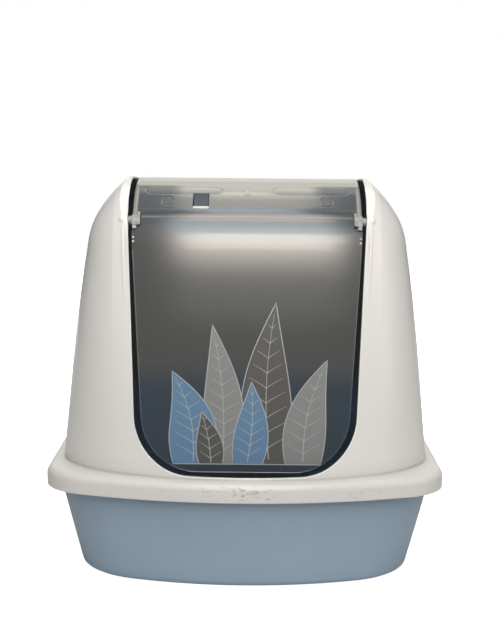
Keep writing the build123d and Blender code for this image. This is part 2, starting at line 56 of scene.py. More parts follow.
# ---------------------------------------------------------------- node help
class Graph:
    """Small helper for building shader node trees."""

    def __init__(self, name):
        self.mat = bpy.data.materials.new(name)
        self.mat.use_nodes = True
        self.nt = self.mat.node_tree
        self.nt.nodes.clear()
        self.out = self.nt.nodes.new("ShaderNodeOutputMaterial")
        self.bsdf = self.nt.nodes.new("ShaderNodeBsdfPrincipled")
        self.link(self.bsdf.outputs["BSDF"], self.out.inputs["Surface"])
        tc = self.nt.nodes.new("ShaderNodeTexCoord")
        self.co = tc.outputs["Object"]
        sep = self.nt.nodes.new("ShaderNodeSeparateXYZ")
        self.link(self.co, sep.inputs[0])
        self.x, self.y, self.z = sep.outputs[0], sep.outputs[1], sep.outputs[2]

    def link(self, a, b):
        self.nt.links.new(a, b)

    def put(self, sock, v):
        if hasattr(v, "is_linked") or hasattr(v, "node"):
            self.link(v, sock)
        else:
            sock.default_value = v

    def math(self, op, a, b=0.0, c=0.0, clamp=False):
        n = self.nt.nodes.new("ShaderNodeMath")
        n.operation = op
        n.use_clamp = clamp
        self.put(n.inputs[0], a)
        self.put(n.inputs[1], b)
        self.put(n.inputs[2], c)
        return n.outputs[0]

    def step(self, v, lo, hi):
        """Smooth rise from 0 at lo to 1 at hi."""
        n = self.nt.nodes.new("ShaderNodeMapRange")
        n.interpolation_type = "SMOOTHSTEP"
        n.clamp = True
        self.put(n.inputs["Value"], v)
        n.inputs["From Min"].default_value = lo
        n.inputs["From Max"].default_value = hi
        n.inputs["To Min"].default_value = 0.0
        n.inputs["To Max"].default_value = 1.0
        return n.outputs["Result"]

    def remap(self, v, a, b, c, d):
        n = self.nt.nodes.new("ShaderNodeMapRange")
        n.clamp = True
        self.put(n.inputs["Value"], v)
        n.inputs["From Min"].default_value = a
        n.inputs["From Max"].default_value = b
        n.inputs["To Min"].default_value = c
        n.inputs["To Max"].default_value = d
        return n.outputs["Result"]

    def window(self, v, a, b, soft):
        """1 between a and b, falling to 0 over soft on both sides."""
        return self.math("MULTIPLY", self.step(v, a - soft, a + soft),
                         self.math("SUBTRACT", 1.0, self.step(v, b - soft, b + soft)))

    def noise(self, scale, detail=2.0, rough=0.5, stretch=None, offset=None, out="Fac"):
        v = self.co
        if stretch or offset:
            mp = self.nt.nodes.new("ShaderNodeMapping")
            self.link(v, mp.inputs["Vector"])
            if stretch:
                mp.inputs["Scale"].default_value = stretch
            if offset:
                mp.inputs["Location"].default_value = offset
            v = mp.outputs["Vector"]
        n = self.nt.nodes.new("ShaderNodeTexNoise")
        self.link(v, n.inputs["Vector"])
        n.inputs["Scale"].default_value = scale
        n.inputs["Detail"].default_value = detail
        n.inputs["Roughness"].default_value = rough
        return n.outputs[out] if out in n.outputs else n.outputs[0]

    def mix(self, fac, a, b, blend="MIX"):
        n = self.nt.nodes.new("ShaderNodeMix")
        n.data_type = "RGBA"
        n.blend_type = blend
        n.clamp_factor = True
        self.put(n.inputs[0], fac)
        for i, v in ((6, a), (7, b)):
            if isinstance(v, tuple):
                n.inputs[i].default_value = (*v, 1.0) if len(v) == 3 else v
            else:
                self.link(v, n.inputs[i])
        return n.outputs[2]

    def bump(self, height, strength, distance, normal=None):
        n = self.nt.nodes.new("ShaderNodeBump")
        n.inputs["Strength"].default_value = strength
        n.inputs["Distance"].default_value = distance
        self.link(height, n.inputs["Height"])
        if normal is not None:
            self.link(normal, n.inputs["Normal"])
        return n.outputs["Normal"]

    def bevel(self, radius, samples=6):
        n = self.nt.nodes.new("ShaderNodeBevel")
        n.samples = samples
        n.inputs["Radius"].default_value = radius
        return n.outputs["Normal"]

    def faces_in(self):
        """1 on faces that look toward the middle of the object, 0 on outer faces."""
        geo = self.nt.nodes.new("ShaderNodeNewGeometry")
        flat = self.nt.nodes.new("ShaderNodeCombineXYZ")
        self.link(self.x, flat.inputs[0])
        self.link(self.y, flat.inputs[1])
        dot = self.nt.nodes.new("ShaderNodeVectorMath")
        dot.operation = "DOT_PRODUCT"
        self.link(geo.outputs["Normal"], dot.inputs[0])
        self.link(flat.outputs[0], dot.inputs[1])
        return self.math("SUBTRACT", 1.0, self.step(dot.outputs["Value"], -0.035, -0.010))

    def crown(self):
        """Height along the crown curve in m, from straight up toward the front."""
        th = self.math("ARCTAN2", self.math("SUBTRACT", -0.1105, self.y), self.math("SUBTRACT", self.z, 0.320))
        return self.math("MULTIPLY", th, 0.0842)

    def occlusion(self, distance, samples=8, inside=False):
        n = self.nt.nodes.new("ShaderNodeAmbientOcclusion")
        n.samples = samples
        n.inside = inside
        n.only_local = True
        n.inputs["Distance"].default_value = distance
        return n.outputs["AO"]

    def set(self, **kw):
        names = {"base": "Base Color", "rough": "Roughness", "normal": "Normal", "alpha": "Alpha",
                 "spec": "Specular IOR Level", "ior": "IOR", "coat": "Coat Weight",
                 "coat_rough": "Coat Roughness", "sss": "Subsurface Weight",
                 "sss_r": "Subsurface Radius", "sss_s": "Subsurface Scale",
                 "trans": "Transmission Weight", "emit": "Emission Color",
                 "emit_s": "Emission Strength"}
        for k, v in kw.items():
            s = self.bsdf.inputs[names[k]]
            if isinstance(v, tuple) and len(v) == 3 and s.type == "RGBA":
                v = (*v, 1.0)
            self.put(s, v)
        return self.mat


# ---------------------------------------------------------------- world and light
world = bpy.data.worlds.new("studio")
SCENE.world = world
world.use_nodes = True
wn = world.node_tree
wn.nodes.clear()
w_out = wn.nodes.new("ShaderNodeOutputWorld")
w_mix = wn.nodes.new("ShaderNodeMixShader")
w_path = wn.nodes.new("ShaderNodeLightPath")
w_room = wn.nodes.new("ShaderNodeBackground")
w_back = wn.nodes.new("ShaderNodeBackground")
w_room.inputs["Color"].default_value = (0.97, 0.985, 1.0, 1.0)
w_room.inputs["Strength"].default_value = 0.19
w_back.inputs["Color"].default_value = (1.0, 1.0, 1.0, 1.0)
w_back.inputs["Strength"].default_value = 1.0
w_co = wn.nodes.new("ShaderNodeTexCoord")
w_sep = wn.nodes.new("ShaderNodeSeparateXYZ")
w_side = wn.nodes.new("ShaderNodeMapRange")
wn.links.new(w_co.outputs["Generated"], w_sep.inputs[0])
wn.links.new(w_sep.outputs[0], w_side.inputs["Value"])
w_side.inputs["From Min"].default_value = -1.0
w_side.inputs["From Max"].default_value = 1.0
w_side.inputs["To Min"].default_value = 0.045
w_side.inputs["To Max"].default_value = 0.185
wn.links.new(w_side.outputs["Result"], w_room.inputs["Strength"])
wn.links.new(w_path.outputs["Is Camera Ray"], w_mix.inputs[0])
wn.links.new(w_room.outputs[0], w_mix.inputs[1])
wn.links.new(w_back.outputs[0], w_mix.inputs[2])
wn.links.new(w_mix.outputs[0], w_out.inputs["Surface"])


def area(name, loc, target, size, size_y, watts, colour=(1.0, 1.0, 1.0)):
    d = bpy.data.lights.new(name, "AREA")
    d.shape = "RECTANGLE"
    d.size, d.size_y = size, size_y
    d.energy = watts
    d.color = colour
    o = bpy.data.objects.new(name, d)
    o.location = loc
    o.rotation_euler = (Vector(target) - Vector(loc)).to_track_quat("-Z", "Y").to_euler()
    o.visible_camera = False
    SCENE.collection.objects.link(o)
    return o


AIM = Vector((0.0, -0.19, 0.34))


def panel(name, low, high, width, radiance, colour, dist=1.5, shift=0.0):
    """A soft panel between two heights in degrees above the flap, facing it."""
    mid, half = math.radians((low + high) / 2), math.radians((high - low) / 2)
    h = 2.0 * dist * math.tan(half)
    loc = AIM + Vector((shift, -dist * math.cos(mid), dist * math.sin(mid)))
    return area(name, loc, AIM + Vector((shift, 0.0, 0.0)), width, h, radiance * math.pi * width * h, colour)


# a column of soft panels from low front to overhead
for name, low, high, width, level, colour, shift in (
        ("panel_foot", 13.0, 15.4, 0.60, 0.9, (1.0, 0.96, 0.93), 0.041),
        ("panel_toe", 15.4, 16.6, 0.60, 1.2, (1.0, 0.97, 0.95), 0.041),
        ("panel_base", 16.6, 17.5, 0.60, 2.7, (1.0, 0.96, 0.93), 0.041),
        ("panel_edge", 17.5, 18.2, 0.60, 7.2, (1.0, 0.94, 0.89), 0.041),
        ("panel_low", 18.2, 25.0, 0.59, 14.5, (1.0, 0.865, 0.765), 0.038),
        ("panel_front", 25.0, 40.0, 0.59, 14.8, (1.0, 0.970, 0.930), 0.038),
        ("panel_rise", 40.0, 46.0, 0.60, 9.2, (0.90, 0.965, 1.0), 0.025),
        ("panel_bend", 46.0, 52.0, 0.60, 7.8, (0.88, 0.955, 1.0), 0.020),
        ("panel_upper", 52.0, 62.0, 0.58, 6.5, (0.86, 0.95, 1.0), 0.010),
        ("panel_high", 62.0, 83.0, 0.54, 5.1, (0.88, 0.96, 1.0), 0.0),
        ("panel_top", 83.0, 100.0, 0.50, 5.0, (1.0, 0.91, 0.75), 0.0),
        ("panel_rear", 100.0, 114.0, 0.50, 4.7, (1.0, 0.91, 0.75), 0.0)):
    panel(name, low, high, width, level, colour, 3.0, shift)
area("ceiling", (0.0, 0.15, 2.1), (0.0, 0.0, 0.3), 1.6, 1.6, 7.6, (1.0, 0.985, 0.96))
area("backdrop", (0.0, 2.4, 1.15), (0.0, 0.0, 0.35), 2.4, 1.5, 7.6, (1.0, 0.945, 0.87))
for name, x, watts in (("rear_left_fill", -1.15, 13.0), ("rear_right_fill", 1.15, 7.0)):
    rear = area(name, (x, 1.95, 0.42), (0.0, 0.15, 0.22), 0.9, 0.6, watts)
    rear.visible_glossy = False
area("right_fill", (1.9, -1.1, 0.8), (0.1, 0.0, 0.25), 0.9, 0.9, 3.5, (1.0, 0.905, 0.870))
# a soft spot on the upper half of the hood
spot = bpy.data.lights.new("hood_spot", "SPOT")
spot.energy = 20.5
spot.color = (1.0, 0.978, 0.955)
spot.spot_size = math.radians(26.0)
spot.spot_blend = 1.0
spot.shadow_soft_size = 0.16
spot_o = bpy.data.objects.new("hood_spot", spot)
spot_o.location = (-0.10, -0.95, 1.25)
spot_o.rotation_euler = (Vector((-0.012, -0.15, 0.375)) - spot_o.location).to_track_quat("-Z", "Y").to_euler()
spot_o.visible_camera = False
spot_o.visible_glossy = False
SCENE.collection.objects.link(spot_o)
# what little light reaches the inside
glow = bpy.data.lights.new("cabin_glow", "POINT")
glow.energy = 0.035
glow.shadow_soft_size = 0.06
glow_o = bpy.data.objects.new("cabin_glow", glow)
glow_o.location = (0.0, 0.03, 0.25)
glow_o.visible_camera = False
SCENE.collection.objects.link(glow_o)

# ---------------------------------------------------------------- floor
g = Graph("floor_paper")
fl = g.noise(3.0, 2.0)
seen = g.nt.nodes.new("ShaderNodeLightPath")
g.set(base=g.mix(fl, (0.67, 0.67, 0.67), (0.71, 0.71, 0.71)), rough=0.85,
      normal=g.bump(g.noise(220.0, 2.0), 0.03, 0.0005), emit=(1.0, 1.0, 1.0),
      emit_s=g.math("MULTIPLY", seen.outputs["Is Camera Ray"], 0.93))
floor_mat = g.mat
bm = bmesh.new()
ring_n = 64
centre = bm.verts.new((0.0, 0.0, -0.0004))
ring_v = [bm.verts.new((7.0 * math.cos(2 * math.pi * i / ring_n), 7.0 * math.sin(2 * math.pi * i / ring_n), -0.0004))
          for i in range(ring_n)]
for i in range(ring_n):
    bm.faces.new((centre, ring_v[i], ring_v[(i + 1) % ring_n]))
me = bpy.data.meshes.new("floor")
bm.to_mesh(me)
bm.free()
floor = bpy.data.objects.new("floor", me)
floor.data.materials.append(floor_mat)
SCENE.collection.objects.link(floor)


# ---------------------------------------------------------------- finishes
def hood_plastic(name="hood_white_plastic", lift=1.0, inside=True):
    g = Graph(name)
    soft = g.noise(4.5, 3.0, 0.55)
    base = g.mix(soft, tuple(lift * c for c in (0.816, 0.801, 0.774)), tuple(lift * c for c in (0.782, 0.769, 0.745)))
    # painted shade: the skirt is painted darker, where the forward-facing flange gets less light
    skirt_painted_shade = g.math("SUBTRACT", 1.0, g.step(g.z, 0.1070, 0.1146))
    base = g.mix(g.math("MULTIPLY", skirt_painted_shade, 0.55), base, tuple(lift * c for c in (0.715, 0.680, 0.665)))
    # painted highlight: a lighter band beside the entrance stands in for light falling on the strip there
    entrance_band_painted_light = g.math("MULTIPLY", g.window(g.math("ABSOLUTE", g.x), 0.100, 0.1364, 0.0014), g.step(g.z, 0.20, 0.372))
    entrance_band_painted_light = g.math("MULTIPLY", entrance_band_painted_light, g.math("SUBTRACT", 1.0, g.step(g.y, -0.13, -0.09)))
    base = g.mix(entrance_band_painted_light, base, tuple(min(0.92, lift * c) for c in (0.878, 0.852, 0.820)))
    # painted shade darkens inside corners, and a painted shade line follows the crease at the foot of the hood
    corner_painted_shade = g.occlusion(0.020, 8)
    base = g.mix(g.math("MULTIPLY", g.math("SUBTRACT", 1.0, corner_painted_shade), 0.62), base, (0.46, 0.43, 0.39))
    base = g.mix(g.math("MULTIPLY", g.math("SUBTRACT", 1.0, g.occlusion(0.007, 8)), 0.55), base, (0.50, 0.475, 0.435))
    crease_painted_shade = g.math("MULTIPLY", g.step(g.z, 0.11515, 0.1157), g.math("SUBTRACT", 1.0, g.step(g.z, 0.1158, 0.1185)))
    base = g.mix(g.math("MULTIPLY", crease_painted_shade, 0.50), base, (0.50, 0.475, 0.435))
    if inside:
        # painted shade: faces that look into the cabin are painted darker
        base = g.mix(g.math("MULTIPLY", g.faces_in(), 0.62), base, (0.20, 0.19, 0.17))
    # dark stains along the front of the skirt, with pale rubbed spots painted in as sheen
    front = g.math("SUBTRACT", 1.0, g.step(g.y, -0.262, -0.235))
    band = g.window(g.z, 0.099, 0.1125, 0.0028)
    along = g.math("ADD", g.window(g.x, -0.076, 0.026, 0.012),
                   g.math("MULTIPLY", g.window(g.x, 0.098, 0.135, 0.012), 0.55))
    patch = g.step(g.noise(42.0, 2.0, 0.5), 0.34, 0.54)
    where = g.math("MULTIPLY", g.math("MULTIPLY", front, band), along)
    where = g.math("MULTIPLY", where, patch)
    spots = g.step(g.noise(300.0, 4.0, 0.65, stretch=(0.42, 1.0, 1.5)), 0.545, 0.63)
    base = g.mix(g.math("MULTIPLY", g.math("MULTIPLY", spots, where), 0.72), base, (0.36, 0.315, 0.265))
    # painted highlight: pale spots stand in for sheen on the rubbed skirt
    rubbed_painted_sheen = g.step(g.noise(360.0, 3.0, 0.6, offset=(3.0, 1.0, 0.0)), 0.57, 0.66)
    base = g.mix(g.math("MULTIPLY", g.math("MULTIPLY", rubbed_painted_sheen, where), 0.60), base, (0.92, 0.90, 0.85))
    rough = g.math("ADD", g.remap(g.noise(38.0, 3.0, 0.6), 0.3, 0.7, 0.205, 0.255),
                   g.math("MULTIPLY", where, 0.10))
    rough = g.math("ADD", rough, g.math("MULTIPLY", g.math("SUBTRACT", 1.0, g.step(g.z, 0.1135, 0.1200)), 0.085))
    # the roof behind the entrance is eroded matt in the mould
    roof = g.math("MULTIPLY", g.step(g.z, 0.366, 0.382), g.step(g.y, -0.075, -0.040))
    rough = g.math("ADD", rough, g.math("MULTIPLY", roof, 0.42))
    n = g.bump(g.noise(7.0, 2.0), 0.06, 0.0012, g.bevel(0.0016, 6))
    n = g.bump(g.noise(1100.0, 2.0), 0.05, 0.00012, n)
    g.set(base=base, rough=rough, normal=n, spec=0.5)
    return g.mat


def tray_plastic():
    g = Graph("tray_blue_plastic")
    soft = g.noise(3.6, 3.0, 0.55)
    base = g.mix(soft, (0.288, 0.396, 0.504), (0.316, 0.423, 0.529))
    # painted light: paler toward the foot, standing in for light bounced up from the floor
    base = g.mix(g.math("SUBTRACT", 1.0, g.step(g.z, 0.000, 0.095)), base, (0.345, 0.462, 0.578))
    streak = g.noise(60.0, 3.0, 0.6, stretch=(1.0, 1.0, 0.10))
    base = g.mix(g.math("MULTIPLY", g.step(streak, 0.45, 0.75), 0.10), base, (0.42, 0.50, 0.58))
    # paler noisy spots on the lowest part of the tray
    low_pale_spots = g.step(g.noise(95.0, 4.0, 0.65, stretch=(0.5, 0.5, 2.0)), 0.64, 0.74)
    low = g.math("SUBTRACT", 1.0, g.step(g.z, 0.012, 0.045))
    base = g.mix(g.math("MULTIPLY", g.math("MULTIPLY", low_pale_spots, low), 0.30), base, (0.47, 0.53, 0.58))
    rough = g.remap(g.noise(45.0, 3.0, 0.6), 0.3, 0.7, 0.38, 0.50)
    n = g.bump(g.noise(6.0, 2.0), 0.10, 0.0015, g.bevel(0.0010, 6))
    n = g.bump(g.noise(900.0, 2.0), 0.07, 0.00014, n)
    g.set(base=base, rough=rough, normal=n)
    return g.mat


def smoked_plastic(name="door_smoked_plastic", lift=1.0, alpha=0.88):
    g = Graph(name)
    cloud = g.noise(9.0, 3.0, 0.55)
    # painted shade: darker and bluer below, standing in for the shaded tray seen through the door; lighter grey above
    upper = g.step(g.z, 0.193, 0.229)
    base = g.mix(upper, tuple(lift * c for c in (0.047, 0.064, 0.084)), tuple(lift * c for c in (0.087, 0.090, 0.088)))
    base = g.mix(g.math("MULTIPLY", cloud, 0.10), base, tuple(lift * c for c in (0.085, 0.088, 0.090)))
    # fine rubbed lines left by wiping and by fur
    wipe = g.step(g.noise(260.0, 3.0, 0.6, stretch=(1.0, 0.06, 0.06)), 0.60, 0.72)
    base = g.mix(g.math("MULTIPLY", wipe, 0.06), base, tuple(lift * c for c in (0.16, 0.165, 0.17)))
    rough = g.math("ADD", g.remap(g.noise(140.0, 3.0, 0.6), 0.3, 0.7, 0.080, 0.100),
                   g.remap(cloud, 0.3, 0.7, -0.006, 0.008))
    # painted highlight: warm light painted on the door just under the lower edge of the visor
    visor_edge_painted_highlight = g.math("MULTIPLY", g.window(g.crown(), 0.0812, 0.0848, 0.0022), g.window(g.x, -0.066, 0.086, 0.020))
    base = g.mix(g.math("MULTIPLY", visor_edge_painted_highlight, 0.45), base, tuple(lift * c for c in (0.36, 0.285, 0.215)))
    # the snap hook is left matt from the mould
    hook = g.math("MULTIPLY", g.window(g.x, -0.0556, -0.0394, 0.0003), g.step(g.z, 0.3715, 0.3725))
    base = g.mix(hook, base, tuple(lift * c for c in (0.055, 0.074, 0.105)))
    rough = g.math("ADD", rough, g.math("MULTIPLY", hook, 0.38))
    n = g.bump(g.noise(1500.0, 2.0), 0.10, 0.0001, g.bevel(0.0006, 6))
    g.set(base=base, rough=rough, normal=n, alpha=g.remap(hook, 0.0, 1.0, alpha, 0.62), ior=1.58, coat=0.10,
          coat_rough=0.34)
    return g.mat


def milky_visor():
    g = Graph("visor_milky_plastic")
    cloud = g.noise(11.0, 2.0, 0.5)
    ax = g.math("ABSOLUTE", g.x)
    up = g.crown()
    side = g.math("MULTIPLY", g.step(ax, 0.1108, 0.1132), 0.58)
    outer = g.step(ax, 0.062, 0.082)
    # painted light: the top of the visor is painted milky, where light falls on it from above
    crest_mid = g.math("MULTIPLY", g.step(g.z, 0.3835, 0.3995), 0.95)
    crest_end = g.math("MAXIMUM", g.math("MULTIPLY", g.step(g.z, 0.3953, 0.3990), 0.95),
                       g.math("MULTIPLY", g.step(g.z, 0.3880, 0.3965), 0.30))
    crest_painted_light = g.math("ADD", g.math("MULTIPLY", crest_mid, g.math("SUBTRACT", 1.0, outer)), g.math("MULTIPLY", crest_end, outer))
    # long recesses: thinner wall, clearer toward the ends
    v = g.math("SUBTRACT", up, math.radians(29.5) * 0.0842)
    q = g.math("MAXIMUM", g.math("SUBTRACT", g.math("ABSOLUTE", g.math("SUBTRACT", ax, 0.0655)), 0.03275), 0.0)
    slot = g.math("SQRT", g.math("ADD", g.math("MULTIPLY", q, q), g.math("MULTIPLY", v, v)))
    slot_in = g.math("SUBTRACT", 1.0, g.step(slot, 0.0064, 0.0071))
    clear = g.math("MULTIPLY", g.math("MULTIPLY", slot_in, outer), 0.22)
    crest_painted_light = g.math("MULTIPLY", crest_painted_light, g.math("SUBTRACT", 1.0, clear))
    # painted highlight along the rims of the long recesses
    slot_rim_painted_highlight = g.window(slot, 0.0069, 0.0077, 0.0003)
    # round marks: painted highlight along their rims
    w = g.math("SUBTRACT", up, math.radians(41.3) * 0.0842)
    u = g.math("SUBTRACT", ax, 0.0814)
    disc = g.math("SQRT", g.math("ADD", g.math("MULTIPLY", u, u), g.math("MULTIPLY", w, w)))
    ring_rim_painted_highlight = g.window(disc, 0.0059, 0.0070, 0.0003)
    # painted highlight on the lip under the window and on the fold; the lower edge is thicker
    lip_painted_highlight = g.math("MULTIPLY", g.window(g.x, -0.0558, -0.0392, 0.0003), g.window(up, 0.0685, 0.0712, 0.0003))
    fold_painted_highlight = g.math("MULTIPLY", g.step(up, 0.0755, 0.0822), g.window(g.x, -0.066, 0.086, 0.020))
    low = g.step(up, 0.0685, 0.0715)
    # gate nub, painted pale as a highlight, with a darker patch under it
    from_gate = g.math("SUBTRACT", up, math.radians(31.0) * 0.0842)
    nub_painted_highlight = g.math("SQRT", g.math("ADD", g.math("MULTIPLY", g.x, g.x), g.math("MULTIPLY", from_gate, from_gate)))
    nub_painted_highlight = g.math("SUBTRACT", 1.0, g.step(nub_painted_highlight, 0.0022, 0.0030))
    below_nub_dark = g.math("MULTIPLY", g.window(g.x, -0.0036, 0.0036, 0.0014), g.window(from_gate, 0.0032, 0.0105, 0.0016))
    # milky colour of the thick side webs, joined with the painted light of the crest, rims, marks and lip
    milk_and_painted_light = g.math("MAXIMUM", side, crest_painted_light)
    milk_and_painted_light = g.math("MAXIMUM", milk_and_painted_light, g.math("MULTIPLY", slot_rim_painted_highlight, 0.60))
    milk_and_painted_light = g.math("MAXIMUM", milk_and_painted_light, g.math("MULTIPLY", ring_rim_painted_highlight, 0.30))
    milk_and_painted_light = g.math("MAXIMUM", milk_and_painted_light, g.math("MULTIPLY", lip_painted_highlight, 1.0))
    base = g.mix(cloud, (0.051, 0.066, 0.079), (0.059, 0.074, 0.086))
    base = g.mix(g.math("MULTIPLY", low, 0.9), base, (0.062, 0.073, 0.078))
    base = g.mix(g.math("MULTIPLY", fold_painted_highlight, 0.58), base, (0.46, 0.355, 0.265))
    base = g.mix(milk_and_painted_light, base, (0.58, 0.572, 0.520))
    base = g.mix(g.math("MULTIPLY", below_nub_dark, 0.78), base, (0.10, 0.105, 0.105))
    base = g.mix(g.math("MULTIPLY", nub_painted_highlight, 0.9), base, (0.62, 0.61, 0.565))
    alpha = g.math("MAXIMUM", g.remap(milk_and_painted_light, 0.0, 0.9, 0.78, 0.95), g.math("MULTIPLY", low, 0.94))
    rough = g.math("ADD", g.remap(g.noise(120.0, 3.0, 0.6), 0.3, 0.7, 0.11, 0.14),
                   g.math("MULTIPLY", g.window(up, 0.0803, 0.0826, 0.0003), 0.20))
    n = g.bump(g.noise(340.0, 2.0), 0.03, 0.0001, g.bevel(0.0005, 6))
    g.set(base=base, rough=rough, normal=n, alpha=alpha, ior=1.58, coat=0.12, coat_rough=0.35)
    return g.mat


def milky_thick(name="clip_milky_plastic", lift=1.0):
    g = Graph(name)
    cloud = g.noise(150.0, 3.0, 0.55)
    base = g.mix(g.step(cloud, 0.35, 0.65), tuple(lift * c for c in (0.27, 0.28, 0.272)), tuple(lift * c for c in (0.42, 0.425, 0.408)))
    # painted shade in the clip's inside corners
    base = g.mix(g.math("MULTIPLY", g.math("SUBTRACT", 1.0, g.occlusion(0.004, 6)), 0.6), base, (0.12, 0.122, 0.12))
    rough = g.remap(g.noise(160.0, 3.0, 0.6), 0.3, 0.7, 0.24, 0.34)
    n = g.bump(g.noise(900.0, 2.0), 0.06, 0.0001, g.bevel(0.0005, 6))
    g.set(base=base, rough=rough, normal=n, alpha=0.94)
    return g.mat


def pad_foam():
    g = Graph("filter_carbon_foam")
    v = g.nt.nodes.new("ShaderNodeTexVoronoi")
    v.inputs["Scale"].default_value = 420.0
    g.link(g.co, v.inputs["Vector"])
    base = g.mix(g.step(v.outputs["Distance"], 0.1, 0.6), (0.006, 0.006, 0.007), (0.030, 0.030, 0.032))
    g.set(base=base, rough=0.95, normal=g.bump(v.outputs["Distance"], 0.8, 0.0012))
    return g.mat


HOOD = hood_plastic()
TRAY = tray_plastic()
SMOKED = smoked_plastic()
MILKY = milky_visor()
MILKY_THICK = milky_thick()
# the studs use a lighter copy of the clip plastic, a painted highlight
STUD = milky_thick("stud_plastic_painted_highlight", 2.05)
PAD = pad_foam()


def dress(node, mat):
    o = NODE[node]
    o.data.materials.clear()
    o.data.materials.append(mat)
    for p in o.data.polygons:
        p.material_index = 0
    return o


def smooth_group():
    """Merges split corners and keeps only real creases sharp."""
    ng = bpy.data.node_groups.new("soft_shading", "GeometryNodeTree")
    ng.interface.new_socket("Geometry", in_out="INPUT", socket_type="NodeSocketGeometry")
    ng.interface.new_socket("Geometry", in_out="OUTPUT", socket_type="NodeSocketGeometry")
    i = ng.nodes.new("NodeGroupInput")
    o = ng.nodes.new("NodeGroupOutput")
    merge = ng.nodes.new("GeometryNodeMergeByDistance")
    merge.inputs["Distance"].default_value = 0.000004
    face = ng.nodes.new("GeometryNodeSetShadeSmooth")
    face.domain = "FACE"
    face.inputs["Shade Smooth"].default_value = True
    ang = ng.nodes.new("GeometryNodeInputMeshEdgeAngle")
    cmp = ng.nodes.new("FunctionNodeCompare")
    cmp.data_type = "FLOAT"
    cmp.operation = "LESS_THAN"
    cmp.inputs[1].default_value = math.radians(26.0)
    edge = ng.nodes.new("GeometryNodeSetShadeSmooth")
    edge.domain = "EDGE"
    ng.links.new(i.outputs[0], merge.inputs["Geometry"])
    ng.links.new(merge.outputs["Geometry"], face.inputs["Geometry"])
    ng.links.new(face.outputs["Geometry"], edge.inputs["Geometry"])
    ng.links.new(ang.outputs["Unsigned Angle"], cmp.inputs[0])
    ng.links.new(cmp.outputs[0], edge.inputs["Shade Smooth"])
    ng.links.new(edge.outputs["Geometry"], o.inputs[0])
    return ng


SOFT = smooth_group()


def soften(obj):
    m = obj.modifiers.new("soft_shading", "NODES")
    m.node_group = SOFT
    return obj


for node, mat in (("base_tray", TRAY), ("hood_shell", HOOD), ("flap_visor", MILKY), ("door_panel", SMOKED),
                  ("pivot_clip_left", MILKY_THICK), ("pivot_clip_right", MILKY_THICK),
                  ("door_studs", STUD), ("filter_holder", HOOD), ("carbon_filter", PAD)):
    soften(dress(node, mat))

# ---------------------------------------------------------------- door face
LEAN = math.radians(11.5)
FACE_Y, FACE_Z = -0.1105 - 0.0837 * math.cos(LEAN), 0.320 + 0.0837 * math.sin(LEAN)
FACE_N = Vector((0.0, -math.cos(LEAN), math.sin(LEAN)))


def on_door(x, z, lift):
    """Point on the door's front face at x and height z in mm, raised by lift in mm."""
    p = Vector((x / 1000.0, FACE_Y - (FACE_Z - z / 1000.0) * math.tan(LEAN), z / 1000.0))
    return p + FACE_N * (lift / 1000.0)


def finish_piece(name, bm, mat, body):
    bmesh.ops.recalc_face_normals(bm, faces=bm.faces)
    me = bpy.data.meshes.new(name)
    bm.to_mesh(me)
    bm.free()
    me.materials.append(mat)
    o = bpy.data.objects.new(name, me)
    SCENE.collection.objects.link(o)
    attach(o, body)
    return o


def film(bm, pts, low, high):
    """A thin closed layer of ink over an outline given in door coordinates."""
    bot = [bm.verts.new(on_door(x, z, low)) for x, z in pts]
    top = [bm.verts.new(on_door(x, z, high)) for x, z in pts]
    n = len(pts)
    bm.faces.new(top)
    bm.faces.new(list(reversed(bot)))
    for i in range(n):
        bm.faces.new((bot[i], bot[(i + 1) % n], top[(i + 1) % n], top[i]))


def line(bm, pts, width, low, high, closed=False, taper=False):
    """A drawn line as a thin flat ribbon."""
    n = len(pts)
    left, right = [], []
    for i in range(n):
        if closed:
            a, b = pts[(i - 1) % n], pts[(i + 1) % n]
        else:
            a, b = pts[max(i - 1, 0)], pts[min(i + 1, n - 1)]
        dx, dz = b[0] - a[0], b[1] - a[1]
        k = math.hypot(dx, dz) or 1.0
        w = width / 2.0
        if taper:
            w *= 0.35 + 0.65 * (1.0 - i / (n - 1))
        left.append((pts[i][0] - dz / k * w, pts[i][1] + dx / k * w))
        right.append((pts[i][0] + dz / k * w, pts[i][1] - dx / k * w))
    rows = [[bm.verts.new(on_door(x, z, h)) for x, z in side] for side, h in
            ((left, high), (right, high), (right, low), (left, low))]
    last = n if closed else n - 1
    for i in range(last):
        j = (i + 1) % n
        for a, b in ((0, 1), (1, 2), (2, 3), (3, 0)):
            bm.faces.new((rows[a][i], rows[b][i], rows[b][j], rows[a][j]))
    if not closed:
        bm.faces.new([rows[k][0] for k in (0, 1, 2, 3)])
        bm.faces.new([rows[k][n - 1] for k in (3, 2, 1, 0)])


GROUND = 125.0


def rib(leaf, t):
    """Point on a leaf's middle rib, t from 0 at the foot to 1 at the tip."""
    x0, x1, top, half, bend, foot = leaf
    return (x0 + (x1 - x0) * t + bend * math.sin(math.pi * t), GROUND + (top - GROUND) * t)


def spread(leaf, t):
    half, foot = leaf[3], leaf[5]
    body = math.sin(math.pi * min(1.0, 0.16 + 0.84 * t) ** 0.92)
    return max(0.0, half * (foot * (1.0 - t) ** 3 * 0.55 + body * (1.0 - 0.15 * t)))


def leaf_outline(leaf, n=30):
    left, right = [], []
    for i in range(n):
        t = i / n
        x, z = rib(leaf, t)
        xa, za = rib(leaf, max(0.0, t - 0.01))
        xb, zb = rib(leaf, min(1.0, t + 0.01))
        k = math.hypot(xb - xa, zb - za)
        nx, nz = (zb - za) / k, -(xb - xa) / k
        if i == 0:
            nx, nz = 1.0, 0.0
        w = spread(leaf, t)
        left.append((x - nx * w, max(GROUND, z - nz * w)))
        right.append((x + nx * w, max(GROUND, z + nz * w)))
    return left + [rib(leaf, 1.0)] + list(reversed(right))


